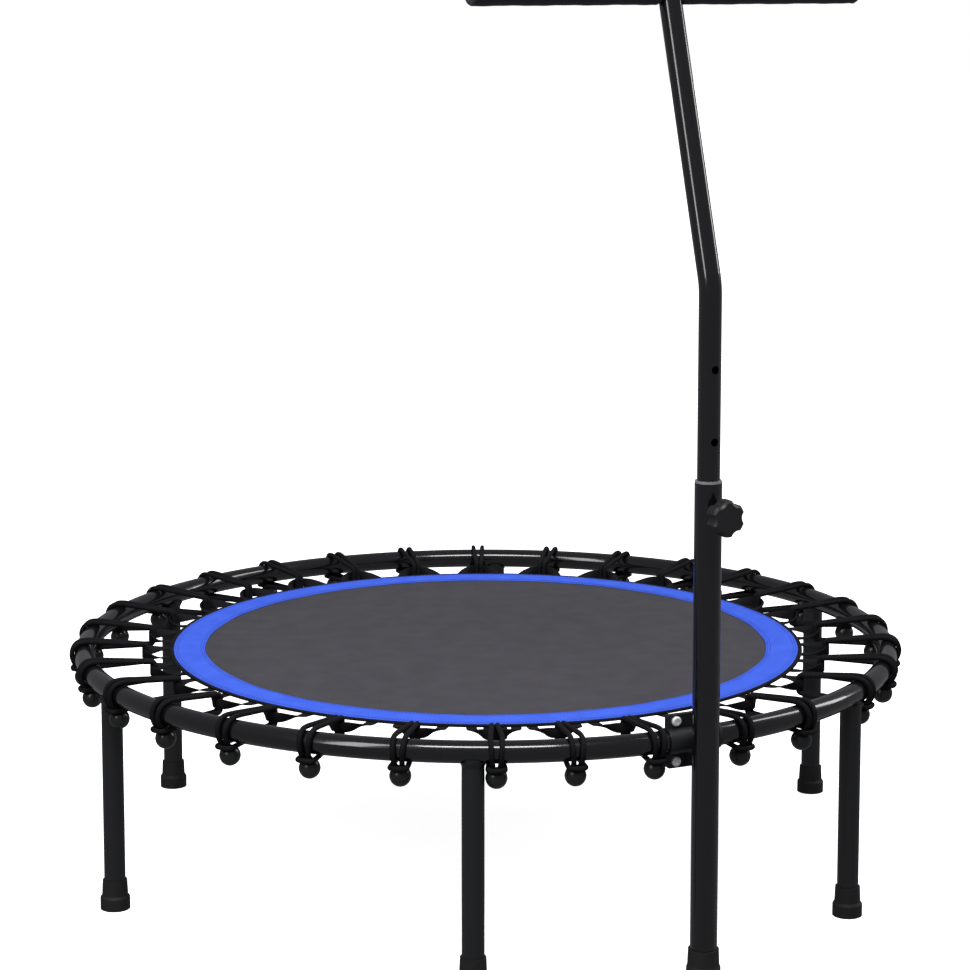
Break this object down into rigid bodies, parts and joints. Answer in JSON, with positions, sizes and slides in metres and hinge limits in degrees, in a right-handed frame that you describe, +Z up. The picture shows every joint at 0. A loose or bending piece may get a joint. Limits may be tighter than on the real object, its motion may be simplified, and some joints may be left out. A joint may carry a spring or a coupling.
{
  "type": "mini trampoline",
  "caption": "Round fitness trampoline: ring frame on short legs, a mat hung on elastic loops, and a clamped post with a cranked T-handle whose height slides and locks.",
  "frame": {"origin": "on the floor, at the middle of the whole object's box seen from above", "axes": "+Z up, the handle post on the -Y side with its handle leaning towards +Y over the mat"},
  "size_m": [1.0302, 1.0879, 1.094],
  "materials": {
    "ring_paint": "gloss black powder coat",
    "leg_paint": "satin black powder coat",
    "post_paint": "gloss black powder coat",
    "handle_paint": "gloss black powder coat",
    "foot_rubber": "matt black moulded rubber",
    "mat_fabric": "black woven polypropylene, fine matt weave",
    "band_fabric": "bright blue woven tape with stitch rows",
    "webbing": "black woven polyester webbing",
    "elastic_cord": "black braided cover over a rubber core",
    "ball_plastic": "satin black moulded plastic",
    "zinc_steel": "bright zinc plate",
    "bushing_plastic": "dark grey moulded nylon",
    "grip_foam": "dense black foam, fine skin",
    "knob_plastic": "black moulded plastic, fine texture"
  },
  "bodies": {
    "frame": {"frame_section_1": "ring_paint", "frame_section_2": "ring_paint", "frame_section_3": "ring_paint", "frame_section_4": "ring_paint", "frame_section_5": "ring_paint", "frame_section_6": "ring_paint", "leg_socket_1": "leg_paint", "leg_socket_2": "leg_paint", "leg_socket_3": "leg_paint", "leg_socket_4": "leg_paint", "leg_socket_5": "leg_paint", "leg_socket_6": "leg_paint", "leg_tube_1": "leg_paint", "leg_tube_2": "leg_paint", "leg_tube_3": "leg_paint", "leg_tube_4": "leg_paint", "leg_tube_5": "leg_paint", "leg_tube_6": "leg_paint", "leg_foot_1": "foot_rubber", "leg_foot_2": "foot_rubber", "leg_foot_3": "foot_rubber", "leg_foot_4": "foot_rubber", "leg_foot_5": "foot_rubber", "leg_foot_6": "foot_rubber", "elastic_loops_1": "elastic_cord", "elastic_loops_2": "elastic_cord", "elastic_loops_3": "elastic_cord", "elastic_loops_4": "elastic_cord", "elastic_loops_5": "elastic_cord", "elastic_loops_6": "elastic_cord", "stop_balls_1": "ball_plastic", "stop_balls_2": "ball_plastic", "stop_balls_3": "ball_plastic", "stop_balls_4": "ball_plastic", "stop_balls_5": "ball_plastic", "stop_balls_6": "ball_plastic", "clamp_plate_front": "post_paint", "clamp_plate_rear": "post_paint", "clamp_bolts": "zinc_steel", "clamp_nuts": "zinc_steel", "post_tube": "post_paint", "post_foot": "foot_rubber", "post_bushing": "bushing_plastic", "lock_boss": "post_paint"},
    "mat": {"jumping_mat": "mat_fabric", "edge_band": "band_fabric", "webbing_loops": "webbing"},
    "handle": {"handle_tube": "handle_paint", "handle_guide_plug": "bushing_plastic", "handle_crossbar": "handle_paint", "grip_left": "grip_foam", "grip_right": "grip_foam"},
    "lock_screw": {"lock_screw": "zinc_steel"},
    "lock_knob": {"lock_knob": "knob_plastic"}
  },
  "joints": [
    {"name": "mat_bounce", "type": "slide", "parent": "frame", "child": "mat", "axis": [0, 0, 1], "range_m": [-0.08, 0], "stiffness_N_per_m": 12000, "springref_m": 0.002, "deforming": ["elastic_loops_1", "elastic_loops_2", "elastic_loops_3", "elastic_loops_4", "elastic_loops_5", "elastic_loops_6"]},
    {"name": "handle_height", "type": "slide", "parent": "frame", "child": "handle", "axis": [0, 0, 1], "range_m": [-0.156, 0]},
    {"name": "knob_travel", "type": "slide", "parent": "frame", "child": "lock_screw", "axis": [0, -1, 0], "range_m": [0, 0.00625]},
    {"name": "knob_turn", "type": "hinge", "parent": "lock_screw", "child": "lock_knob", "pos_m": [0, -0.49985, 0.521], "axis": [0, -1, 0], "range_deg": [0, 1800]}
  ],
  "couplings": [
    {"joint": "knob_turn", "follows": "knob_travel", "rad_per_m": 5026.5}
  ]
}
